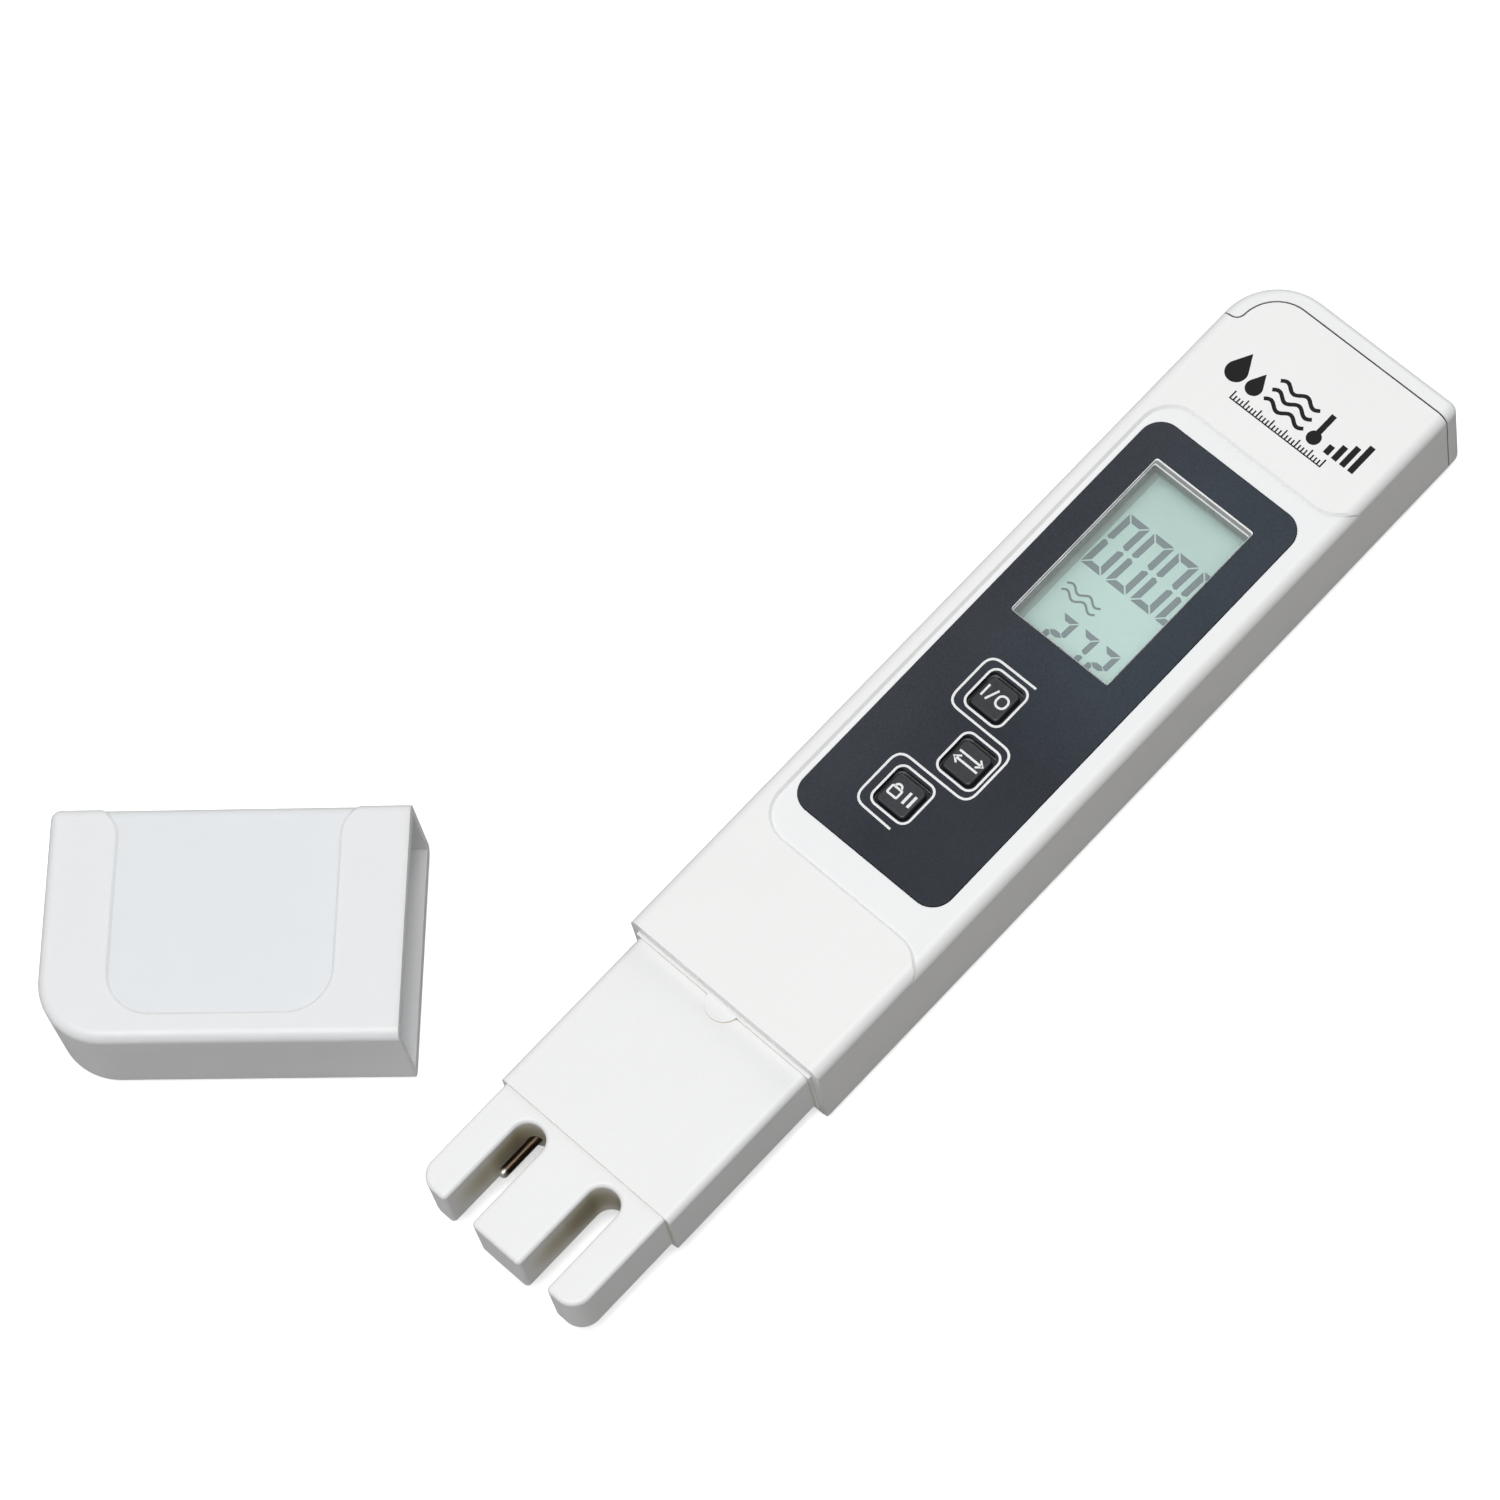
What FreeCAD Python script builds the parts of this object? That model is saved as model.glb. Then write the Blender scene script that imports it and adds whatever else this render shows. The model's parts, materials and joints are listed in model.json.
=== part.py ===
# Pen-shaped digital water tester: a sleeve casing with display and keys, a plug-in probe holder
# with two electrodes, a pull-off battery cover and a protective cap that lies beside it.
#
# Frame: millimetres. The meter lies on its back on the plane z = 0. The origin is the middle of
# the casing's flat back, +X is the reader's right, +Y points to the battery end, +Z out of the
# display.
import FreeCAD
import Part
import Sketcher
import math
import os

from FreeCAD import Placement, Rotation, Vector

doc = FreeCAD.newDocument("water_tester")
sheet = doc.addObject("Spreadsheet::Sheet", "dims")

# Driving dimensions. Distances "from the mouth" run along +Y from the casing's probe end.
DIMENSIONS = {
    # casing sleeve
    "width": 29.7,
    "thickness": 14.0,
    "casing_length": 110.95,
    "corner_radius": 8.0,
    "small_corner": 1.3,
    "edge_radius": 1.5,
    "side_wall": 1.5,
    "back_wall": 1.5,
    "front_wall": 2.0,
    # parting line between the casing and the battery cover
    "parting_height": 108.45,
    "parting_inset": 12.3,
    "parting_radius": 5.0,
    "parting_foot": 102.4,
    "parting_flare": 1.3,
    "parting_gap": 0.2,
    # shallow recess round the front panel
    "recess_left": 12.32,
    "recess_low": 18.97,
    "recess_high": 89.84,
    "recess_radius": 4.0,
    "recess_flare": 4.5,
    "recess_reach": 15.05,
    "recess_depth": 0.4,
    "recess_slope": 40.0,
    # front panel and its window
    "panel_half": 11.6,
    "panel_low": 23.3,
    "panel_high": 87.45,
    "panel_radius": 2.8,
    "panel_thickness": 0.95,
    "panel_proud": 0.1,
    "panel_gap": 0.1,
    "window_half": 7.65,
    "window_shift": 0.25,
    "window_low": 57.4,
    "window_high": 83.1,
    "lens_thickness": 2.0,
    "lens_gap": 0.06,
    # keys
    "key_half": 2.22,
    "key_gap": 0.4,
    "key_shift": 0.08,
    "key_radius": 0.6,
    "key_pitch": 8.0,
    "key_stagger": 1.5,
    "key_middle": 39.9,
    "key_sink": 0.12,
    "key_flange": 0.8,
    "key_flange_thickness": 1.0,
    "key_clearance": 0.15,
    "switch_half": 3.0,
    "switch_tall": 3.5,
    "plunger_radius": 1.75,
    "plunger_gap": 0.08,
    "plunger_tall": 0.8,
    "plunger_depth": 0.9,
    # circuit board and display
    "board_half": 12.2,
    "board_low": 14.5,
    "board_high": 86.5,
    "board_under": 3.4,
    "board_thickness": 1.2,
    "display_front": 8.6,
    "display_thickness": 2.0,
    "display_half": 8.5,
    "display_low": 56.8,
    "display_high": 83.8,
    "holder_half": 11.6,
    "holder_low": 55.5,
    "holder_high": 84.9,
    "holder_ledge": 0.1,
    "strip_width": 2.0,
    "screw_across": 10.2,
    "screw_low": 57.4,
    "screw_high": 83.0,
    "screw_radius": 0.75,
    "screw_head_radius": 1.4,
    "screw_head": 0.9,
    # battery bay
    "cell_radius": 5.8,
    "cell_thickness": 5.4,
    "cell_across": 6.3,
    "cell_centre": 93.5,
    "tray_half": 13.0,
    "tray_low": 86.8,
    "tray_high": 100.2,
    "tray_under": 2.0,
    "tray_floor": 1.0,
    "tray_rim": 7.5,
    "contact_thickness": 0.2,
    "contact_half": 1.5,
    # battery cover plug
    "plug_half": 13.05,
    "plug_low": 100.6,
    "plug_wall": 1.3,
    "plug_play": 0.3,
    "seal_groove": 0.8,
    "seal_width": 1.0,
    "seal_low": 101.2,
    "seal_play": 0.12,
    # probe holder
    "neck_half": 13.4,
    "neck_under": 2.3,
    "neck_top": 11.8,
    "neck_length": 23.4,
    "neck_edge": 1.0,
    "neck_plug": 13.0,
    "neck_plug_half": 13.2,
    "neck_plug_under": 1.8,
    "lip_proud": 0.25,
    "lip_height": 0.42,
    "tab_radius": 2.3,
    "prong_half": 12.65,
    "prong_under": 3.2,
    "prong_top": 11.5,
    "prong_reach": 38.35,
    "prong_tip_radius": 2.6,
    "prong_edge": 0.55,
    "slot_centre": 5.95,
    "slot_half": 2.15,
    "slot_end": 24.7,
    "well_half": 10.8,
    "well_under": 3.6,
    "well_top": 10.2,
    "well_depth": 8.0,
    "resin_height": 7.0,
    "electrode_radius": 0.65,
    "electrode_across": 7.15,
    "electrode_middle": 6.1,
    "electrode_reach": 31.2,
    "electrode_tail": 9.5,
    "sensor_radius": 1.2,
    "sensor_reach": 35.0,
    "sensor_length": 9.0,
    "wire_radius": 0.3,
    # protective cap, and where it lies beside the meter
    "cap_width": 29.3,
    "cap_length": 42.9,
    "cap_corner": 8.0,
    "cap_edge": 1.3,
    "cap_inside_half": 13.75,
    "cap_inside_under": 1.7,
    "cap_inside_top": 12.15,
    "cap_end_wall": 1.6,
    "cap_recess_low": 8.46,
    "cap_recess_high": 34.64,
    "cap_recess_side": 11.14,
    "cap_recess_radius": 5.2,
    "cap_recess_flare": 4.0,
    "cap_recess_reach": 14.85,
    "cap_across": -66.92,
    "cap_along": -45.5,
    "cap_turn": -48.5,
}

for row, (alias, value) in enumerate(DIMENSIONS.items(), start=1):
    sheet.set("A%d" % row, alias)
    sheet.set("B%d" % row, str(value))
    sheet.setAlias("B%d" % row, alias)
doc.recompute()


class Dim:
    """A length with its spreadsheet formula, so that geometry and expressions stay the same."""

    def __init__(self, value, text):
        self.value = float(value)
        self.text = text

    def combine(self, other, sign, first_self=True):
        other = as_dim(other)
        left, right = (self, other) if first_self else (other, self)
        value = {
            "+": lambda: left.value + right.value,
            "-": lambda: left.value - right.value,
            "*": lambda: left.value * right.value,
            "/": lambda: left.value / right.value,
        }[sign]()
        return Dim(value, "(%s %s %s)" % (left.text, sign, right.text))

    def __add__(self, other):
        return self.combine(other, "+")

    def __radd__(self, other):
        return self.combine(other, "+", False)

    def __sub__(self, other):
        return self.combine(other, "-")

    def __rsub__(self, other):
        return self.combine(other, "-", False)

    def __mul__(self, other):
        return self.combine(other, "*")

    def __rmul__(self, other):
        return self.combine(other, "*", False)

    def __truediv__(self, other):
        return self.combine(other, "/")

    def __neg__(self):
        return Dim(-self.value, "(0 - %s)" % self.text)


def as_dim(value):
    return value if isinstance(value, Dim) else Dim(value, repr(float(value)))


def size(alias):
    """A driving dimension by its alias."""
    return Dim(sheet.get(alias), "dims." + alias)


MOUTH = -(size("casing_length") / 2)


def along(distance):
    """The Y of a place measured from the casing's mouth; aliases are read from the sheet."""
    distance = size(distance) if isinstance(distance, str) else distance
    return MOUTH + distance


def bind(thing, path, dim):
    """Binds a property or constraint to its formula."""
    thing.setExpression(path, as_dim(dim).text)


# ---------------------------------------------------------------- PartDesign helpers

def new_body(name):
    body = doc.addObject("PartDesign::Body", name + "_body")
    body.Label = name
    return body


def new_sketch(body, plane, offset):
    """A sketch on one of the body's own origin planes, moved along the plane's normal.

    On the XZ plane the normal is -Y, so the offset is counted towards -Y.
    """
    sketch = body.newObject("Sketcher::SketchObject", body.Label + "_sketch")
    support = [feature for feature in body.Origin.OriginFeatures if feature.Role == plane][0]
    sketch.AttachmentSupport = [(support, "")]
    sketch.MapMode = "FlatFace"
    offset = as_dim(offset)
    sketch.AttachmentOffset = Placement(Vector(0, 0, offset.value), Rotation())
    bind(sketch, "AttachmentOffset.Base.z", offset)
    return sketch


# Arcs of the outline being drawn, with their radii, by sketch name.
ARC_RADII = {}


def pin_point(sketch, geometry, position, x, y):
    """Fixes a point of the sketch at (x, y)."""
    for kind, axis, dim in (("DistanceX", -2, x), ("DistanceY", -1, y)):
        dim = as_dim(dim)
        if abs(dim.value) < 1e-9:
            sketch.addConstraint(Sketcher.Constraint("PointOnObject", geometry, position, axis))
            continue
        number = sketch.addConstraint(
            Sketcher.Constraint(kind, -1, 1, geometry, position, dim.value))
        bind(sketch, "Constraints[%d]" % number, dim)


def toward(corner, neighbour, radius):
    """The tangent point on the edge from a corner towards its neighbour."""
    x, y = corner
    step_x = neighbour[0].value - x.value
    step_y = neighbour[1].value - y.value
    if abs(step_x) > abs(step_y):
        return (x + radius, y) if step_x > 0 else (x - radius, y)
    return (x, y + radius) if step_y > 0 else (x, y - radius)


def draw_outline(sketch, corners):
    """A closed outline of square corners, each given as (x, y, radius); radius 0 stays sharp."""
    corners = [tuple(as_dim(value) for value in corner) for corner in corners]
    count = len(corners)
    stations = []
    for index, (x, y, radius) in enumerate(corners):
        before = corners[index - 1][:2]
        after = corners[(index + 1) % count][:2]
        if radius.value:
            stations.append((toward((x, y), before, radius), toward((x, y), after, radius)))
        else:
            stations.append(((x, y), (x, y)))
    ends = []
    for index in range(count):
        arrive, leave = stations[index]
        if corners[index][2].value:
            ends.append(draw_corner(sketch, corners[index], arrive, leave))
        start, stop = leave, stations[(index + 1) % count][0]
        line = sketch.addGeometry(Part.LineSegment(
            Vector(start[0].value, start[1].value, 0), Vector(stop[0].value, stop[1].value, 0)))
        pin_point(sketch, line, 1, *start)
        ends.append(((line, 1), (line, 2)))
    for index, (_, leaving) in enumerate(ends):
        arriving = ends[(index + 1) % len(ends)][0]
        sketch.addConstraint(Sketcher.Constraint("Coincident", *leaving, *arriving))
    for arc, dim in ARC_RADII.pop(sketch.Name, []):
        number = sketch.addConstraint(Sketcher.Constraint("Radius", arc, dim.value))
        bind(sketch, "Constraints[%d]" % number, dim)


def draw_corner(sketch, corner, arrive, leave):
    """A quarter arc between two tangent points, with its start fixed and its radius to come."""
    centre_x = arrive[0].value + leave[0].value - corner[0].value
    centre_y = arrive[1].value + leave[1].value - corner[1].value
    first = math.atan2(arrive[1].value - centre_y, arrive[0].value - centre_x)
    last = math.atan2(leave[1].value - centre_y, leave[0].value - centre_x)
    turns_left = math.sin(last - first) > 0
    low, high = (first, last) if turns_left else (last, first)
    if high < low:
        high += 2 * math.pi
    circle = Part.Circle(Vector(centre_x, centre_y, 0), Vector(0, 0, 1), corner[2].value)
    arc = sketch.addGeometry(Part.ArcOfCircle(circle, low, high))
    start, stop = (1, 2) if turns_left else (2, 1)
    pin_point(sketch, arc, start, *arrive)
    ARC_RADII.setdefault(sketch.Name, []).append((arc, corner[2]))
    return ((arc, start), (arc, stop))


def rectangle(left, right, low, high, radius=0):
    """Corners of a rectangle for draw_outline, with one radius all round."""
    return [(left, low, radius), (right, low, radius), (right, high, radius), (left, high, radius)]


def draw_circle(sketch, x, y, radius):
    x, y, radius = as_dim(x), as_dim(y), as_dim(radius)
    circle = Part.Circle(Vector(x.value, y.value, 0), Vector(0, 0, 1), radius.value)
    number = sketch.addGeometry(circle)
    pin_point(sketch, number, 3, x, y)
    number = sketch.addConstraint(Sketcher.Constraint("Radius", number, radius.value))
    bind(sketch, "Constraints[%d]" % number, radius)


def extrude(body, kind, sketch, length, back=False):
    """A Pad or Pocket; back=True turns it round. Its volume has to change the right way."""
    doc.recompute()
    before = body.Shape.Volume if body.Tip is not None else 0.0
    feature = body.newObject("PartDesign::" + kind, body.Label + "_" + kind.lower())
    feature.Profile = sketch
    feature.Length = as_dim(length).value
    bind(feature, "Length", length)
    feature.Reversed = back
    doc.recompute()
    change = body.Shape.Volume - before
    if (change <= 0) if kind == "Pad" else (change >= 0):
        raise ValueError("%s of %s changed nothing" % (kind, body.Label))
    return feature


def slab(body, corners, low, high, kind="Pad"):
    """Adds or cuts an upright prism between two heights."""
    low, high = as_dim(low), as_dim(high)
    sketch = new_sketch(body, "XY_Plane", low)
    draw_outline(sketch, corners)
    extrude(body, kind, sketch, high - low, back=kind == "Pocket")


def tunnel(body, corners, low, high, kind="Pocket"):
    """Adds or cuts a prism along Y; the corners are (x, z, radius)."""
    sketch = new_sketch(body, "XZ_Plane", -as_dim(high))
    draw_outline(sketch, corners)
    extrude(body, kind, sketch, as_dim(high) - low, back=kind == "Pocket")


def bore(body, plane, x, y, radius, low, high):
    """Cuts a round hole along +Z (XY plane) or along Y (XZ plane)."""
    start = low if plane == "XY_Plane" else -as_dim(high)
    sketch = new_sketch(body, plane, start)
    draw_circle(sketch, x, y, radius)
    extrude(body, "Pocket", sketch, as_dim(high) - low, back=True)


def soften(body, kind, amount, wanted):
    """A Fillet or Chamfer on the edges of the last feature for which wanted(edge) is true."""
    doc.recompute()
    base = body.Tip
    names = ["Edge%d" % number for number, edge in enumerate(base.Shape.Edges, start=1)
             if wanted(edge)]
    feature = body.newObject("PartDesign::" + kind, body.Label + "_" + kind.lower())
    feature.Base = (base, names)
    path = "Radius" if kind == "Fillet" else "Size"
    setattr(feature, path, as_dim(amount).value)
    bind(feature, path, amount)
    doc.recompute()
    return feature


def level(edge, height):
    """True for an edge that lies wholly at this height."""
    box = edge.BoundBox
    return abs(box.ZMin - height) < 1e-4 and abs(box.ZMax - height) < 1e-4


def lengthwise(edge):
    """True for a straight edge along Y."""
    box = edge.BoundBox
    return box.YLength > 1.0 and box.XLength < 1e-4 and box.ZLength < 1e-4


# ---------------------------------------------------------------- Part helpers

def place(thing, x, y, z):
    """Puts a Part primitive at a bound position."""
    thing.Placement.Base = Vector(as_dim(x).value, as_dim(y).value, as_dim(z).value)
    for axis, dim in (("x", x), ("y", y), ("z", z)):
        bind(thing, "Placement.Base." + axis, dim)


def block(label, left, right, low, high, under, top):
    """A Part::Box between six bound limits."""
    box = doc.addObject("Part::Box", label)
    box.Label = label
    for path, dim in (("Length", as_dim(right) - left), ("Width", as_dim(high) - low),
                      ("Height", as_dim(top) - under)):
        setattr(box, path, dim.value)
        bind(box, path, dim)
    place(box, left, low, under)
    return box


def rod(label, axis, x, y, z, radius, length):
    """A Part::Cylinder from (x, y, z) along +Y or +Z."""
    cylinder = doc.addObject("Part::Cylinder", label)
    cylinder.Label = label
    cylinder.Radius = as_dim(radius).value
    cylinder.Height = as_dim(length).value
    bind(cylinder, "Radius", radius)
    bind(cylinder, "Height", length)
    if axis == "Y":
        cylinder.Placement.Rotation = Rotation(Vector(1, 0, 0), -90)
    place(cylinder, x, y, z)
    return cylinder


def ball(label, x, y, z, radius):
    sphere = doc.addObject("Part::Sphere", label)
    sphere.Radius = as_dim(radius).value
    bind(sphere, "Radius", radius)
    place(sphere, x, y, z)
    return sphere


def joined(kind, label, parts):
    """Part::MultiFuse, Part::Cut or Part::Compound of objects, as one sub-part."""
    result = doc.addObject(kind, label + "_shape")
    result.Label = label
    if kind == "Part::Cut":
        result.Base, result.Tool = parts
    elif kind == "Part::MultiFuse":
        result.Shapes = parts
    else:
        result.Links = parts
    return result


def wire_lead(label, points, radius):
    """A round insulated lead along straight runs with rounded bends."""
    path = Part.Wire(Part.makePolygon([Vector(*(as_dim(value).value for value in point))
                                       for point in points]).Edges)
    first = path.Edges[0]
    start = first.valueAt(first.FirstParameter)
    circle = Part.Circle(start, first.tangentAt(first.FirstParameter), radius.value)
    lead = doc.addObject("Part::Feature", label)
    lead.Shape = path.makePipeShell([Part.Wire(circle.toShape())], True, False, 2)
    return lead


# ---------------------------------------------------------------- shared places

SUBPARTS = []


def keep(thing):
    SUBPARTS.append(thing)
    return thing


half_width = size("width") / 2
front = size("thickness")
inside_half = half_width - size("side_wall")
inside_under = size("back_wall")
inside_top = front - size("front_wall")
recess_floor = front - size("recess_depth")
panel_top = recess_floor + size("panel_proud")
panel_under = panel_top - size("panel_thickness")
board_top = size("board_under") + size("board_thickness")
key_opening = size("key_half") + size("key_gap")
window_left = -(size("window_half") + size("window_shift"))
window_right = size("window_half") - size("window_shift")
BEYOND = 20.0

# Key centres, from the battery end to the probe end.
KEY_PLACES = {
    "power": (-size("key_stagger"), along(size("key_middle") + size("key_pitch"))),
    "shift": (size("key_stagger"), along("key_middle")),
    "hold": (-size("key_stagger"), along(size("key_middle") - size("key_pitch"))),
}


# ---------------------------------------------------------------- casing and battery cover

def outer_shell(body, top):
    """The rounded block that the casing and the battery cover share, up to a given height."""
    small = size("small_corner")
    slab(body, [(-half_width, MOUTH, 0), (half_width, MOUTH, 0),
                (half_width, along("casing_length"), small),
                (-half_width, along("casing_length"), size("corner_radius"))], 0, top)
    mouth = MOUTH.value

    def rim(edge):
        at_end = abs(edge.BoundBox.YMax - mouth) < 1e-4
        return (level(edge, 0) or level(edge, top.value)) and not at_end

    soften(body, "Fillet", size("edge_radius"), rim)


def parting_corners(grow, beyond_top):
    """The parting line as part of an outline that closes above or below it."""
    inset = -(size("parting_inset") + grow)
    top = along(size("parting_height") + grow)
    foot = along(size("parting_foot") + grow)
    limit = along(size("casing_length") + BEYOND) if beyond_top else MOUTH - BEYOND
    return [(half_width + BEYOND, top, 0), (inset, top, size("parting_radius") + grow),
            (inset, foot, size("parting_flare") - grow), (-half_width - BEYOND, foot, 0),
            (-half_width - BEYOND, limit, 0), (half_width + BEYOND, limit, 0)]


def raise_border(body, border, recess):
    """Joins a low shell with a full-height one from which the recess is cut, walls sloping."""
    slab(border, recess, front - 3, recess_floor, "Pocket")
    slab(border, recess, recess_floor - 0.05, front + 0.05, "Pocket")
    border.Tip.TaperAngle = size("recess_slope").value
    bind(border.Tip, "TaperAngle", size("recess_slope"))
    doc.recompute()
    joint = body.newObject("PartDesign::Boolean", body.Label + "_border")
    joint.Type = "Fuse"
    joint.setObjects([border])
    doc.recompute()


def casing():
    body = new_body("casing")
    outer_shell(body, recess_floor)
    border = new_body("casing_border")
    outer_shell(border, front)
    reach, flare = size("recess_reach"), size("recess_flare")
    low, high = along("recess_low"), along("recess_high")
    beyond_low, beyond_high = low - flare - 1, high + flare + 1
    raise_border(body, border, [
        (-size("recess_left"), low, size("recess_radius")), (reach, low, flare),
        (reach, beyond_low, 0), (half_width + BEYOND, beyond_low, 0),
        (half_width + BEYOND, beyond_high, 0), (reach, beyond_high, 0),
        (reach, high, flare), (-size("recess_left"), high, size("recess_radius"))])
    slab(body, parting_corners(0, True), -1, front + 1, "Pocket")
    tunnel(body, rectangle(-inside_half, inside_half, inside_under, inside_top, 1.0),
           MOUTH - 1, along(size("casing_length") + 1))
    gap = size("panel_gap")
    seat = size("panel_half") + gap
    slab(body, rectangle(-seat, seat, along("panel_low") - gap, along("panel_high") + gap,
                         size("panel_radius") + gap), panel_under, front + 1, "Pocket")
    slab(body, rectangle(window_left, window_right, along("window_low"),
                         along("window_high"), 0.3), inside_top - 1, front + 1, "Pocket")
    for x, y in KEY_PLACES.values():
        slab(body, rectangle(x - key_opening, x + key_opening, y - key_opening, y + key_opening,
                             size("key_radius") + 0.25),
             inside_top - 1, front + 1, "Pocket")
    keep(body)


def battery_cover():
    """The end band with its hollow plug, which pushes into the casing's battery end."""
    body = new_body("battery_cover")
    outer_shell(body, front)
    slab(body, parting_corners(size("parting_gap"), False), -1, front + 1, "Pocket")
    plug, wall = size("plug_half"), size("plug_wall")
    under, top = inside_under + size("plug_play"), inside_top - size("plug_play")
    low = along("plug_low")
    high = along(size("parting_height") + size("parting_gap") + 0.2)
    corner = size("corner_radius") - 2
    slab(body, [(-plug, low, 0), (plug, low, 0), (plug, high, 0.5), (-plug, high, corner)],
         under, top)
    slab(body, [(-plug + wall, low - 1, 0), (plug - wall, low - 1, 0),
                (plug - wall, high - wall, 0.5), (-plug + wall, high - wall, corner - wall)],
         under + wall, top - wall, "Pocket")
    groove = size("seal_groove")
    ring_low = along("seal_low")
    sketch = new_sketch(body, "XZ_Plane", -(ring_low + size("seal_width")))
    draw_outline(sketch, rectangle(-plug - 1, plug + 1, under - 1, top + 1))
    draw_outline(sketch, rectangle(-plug + groove, plug - groove, under + groove, top - groove))
    extrude(body, "Pocket", sketch, size("seal_width"), back=True)
    keep(body)

    seal = new_body("cover_seal")
    play = size("seal_play")
    tunnel(seal, rectangle(-inside_half + play, inside_half - play, inside_under + play,
                           inside_top - play, 0.9), ring_low, ring_low + size("seal_width"), "Pad")
    tunnel(seal, rectangle(-plug + groove, plug - groove, under + groove, top - groove),
           ring_low - 1, ring_low + size("seal_width") + 1)
    keep(seal)


# ---------------------------------------------------------------- front panel, window and keys

def front_panel():
    body = new_body("front_panel")
    half = size("panel_half")
    slab(body, rectangle(-half, half, along("panel_low"), along("panel_high"),
                         size("panel_radius")), panel_under, panel_top)
    slab(body, rectangle(window_left, window_right, along("window_low"),
                         along("window_high"), 0.3), panel_under - 1, panel_top + 1, "Pocket")
    for x, y in KEY_PLACES.values():
        slab(body, rectangle(x - key_opening, x + key_opening, y - key_opening, y + key_opening,
                             size("key_radius") + 0.25),
             panel_under - 1, panel_top + 1, "Pocket")
    keep(body)

    lens = new_body("window_lens")
    gap = size("lens_gap")
    slab(lens, rectangle(window_left + gap, window_right - gap, along("window_low") + gap,
                         along("window_high") - gap, 0.3), panel_top - size("lens_thickness"), panel_top)
    soften(lens, "Chamfer", 0.2, lambda edge: level(edge, panel_top.value))
    keep(lens)


def keys():
    """Each key cap has a flange below the front wall and stands on its switch's plunger."""
    plunger_top = board_top + size("switch_tall") + size("plunger_tall")
    flange_top = inside_top - size("key_clearance")
    flange = size("key_half") + size("key_flange")
    for name, (x, y) in KEY_PLACES.items():
        key = new_body(name + "_key")
        half, shift = size("key_half"), size("key_shift")
        top = panel_top - size("key_sink")
        slab(key, rectangle(x - shift - half, x - shift + half, y - shift - half,
                            y - shift + half, size("key_radius")), plunger_top, top)
        slab(key, rectangle(x - flange, x + flange, y - flange, y + flange, size("key_radius")),
             flange_top - size("key_flange_thickness"), flange_top)
        soften(key, "Fillet", 0.3, lambda edge: level(edge, top.value))
        keep(key)

        switch = new_body(name + "_switch")
        half = size("switch_half")
        switch_top = board_top + size("switch_tall")
        slab(switch, rectangle(x - half, x + half, y - half, y + half, 0.4),
             board_top, switch_top)
        bore(switch, "XY_Plane", x, y, size("plunger_radius") + size("plunger_gap"),
             switch_top - size("plunger_depth"), switch_top + 1)
        keep(switch)

        keep(rod(name + "_plunger", "Z", x, y, switch_top - 0.2,
                 size("plunger_radius"), size("plunger_tall") + 0.2))


# ---------------------------------------------------------------- circuit board and display

SCREW_PLACES = [(side * size("screw_across"), along(end))
                for side in (-1, 1) for end in ("screw_low", "screw_high")]


def electronics():
    under = size("board_under")
    board = new_body("circuit_board")
    half = size("board_half")
    slab(board, rectangle(-half, half, along("board_low"), along("board_high"), 1.0),
         under, board_top)
    for x, y in SCREW_PLACES:
        bore(board, "XY_Plane", x, y, size("screw_radius") + 0.1, under - 1, board_top + 1)
    keep(board)

    glass = new_body("display_glass")
    half = size("display_half")
    slab(glass, rectangle(-half, half, along("display_low"), along("display_high"), 0.2),
         size("display_front") - size("display_thickness"), size("display_front"))
    keep(glass)

    holder = new_body("display_holder")
    half = size("holder_half")
    ledge = size("holder_ledge")
    holder_top = panel_top - size("lens_thickness")
    slab(holder, rectangle(-half, half, along("holder_low"), along("holder_high"), 0.8),
         board_top, holder_top)
    reach = size("display_half") + 0.1
    slab(holder, rectangle(-reach, reach, along("display_low") - 0.1,
                           along("display_high") + 0.1, 0.2),
         board_top - 1, size("display_front"), "Pocket")
    slab(holder, rectangle(window_left + ledge, window_right - ledge, along("window_low") + ledge,
                           along("window_high") - ledge, 0.2),
         size("display_front") - 0.5, holder_top + 1, "Pocket")
    for x, y in SCREW_PLACES:
        bore(holder, "XY_Plane", x, y, size("screw_radius"), board_top - 1, board_top + 4)
    keep(holder)

    width = size("strip_width")
    keep(block("contact_strip", -size("window_half"), size("window_half"),
               along("display_low") + 0.6, along("display_low") + 0.6 + width,
               board_top, size("display_front") - size("display_thickness")))

    screws = []
    for number, (x, y) in enumerate(SCREW_PLACES, start=1):
        head = rod("screw_head_%d" % number, "Z", x, y, under - size("screw_head"),
                   size("screw_head_radius"), size("screw_head"))
        shank = rod("screw_shank_%d" % number, "Z", x, y, under - 0.1, size("screw_radius"),
                    size("board_thickness") + 4)
        screws.append(joined("Part::MultiFuse", "screw_%d" % number, [head, shank]))
    keep(joined("Part::Compound", "board_screws", screws))

    chip_base = rod("chip_base", "Z", 2, along(30), under - 0.9, 4.2, 0.9)
    chip_ball = ball("chip_ball", 2, along(30), under + 6.2, 7.6)
    keep(joined("Part::MultiFuse", "processor_blob", [chip_base, clipped(chip_ball, under)]))

    crystal = [rod("crystal_can", "Y", 8.5, along(19), board_top + 1.05, 1.0, 6.0)]
    for x in (8.1, 8.9):
        crystal.append(rod("crystal_lead_%d" % (10 * x), "Y", x, along(16.5), board_top + 1.05,
                           0.15, 3.0))
    keep(joined("Part::MultiFuse", "timing_crystal", crystal))
    chips = []
    for number in range(8):
        x = -10.0 + 2.6 * (number % 4)
        y = along(21.5 + 3.5 * (number // 4))
        chips.append(block("resistor_%d" % (number + 1), x, x + 1.25, y, y + 2.0,
                           board_top, board_top + 0.5))
    keep(joined("Part::Compound", "chip_resistors", chips))


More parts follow.
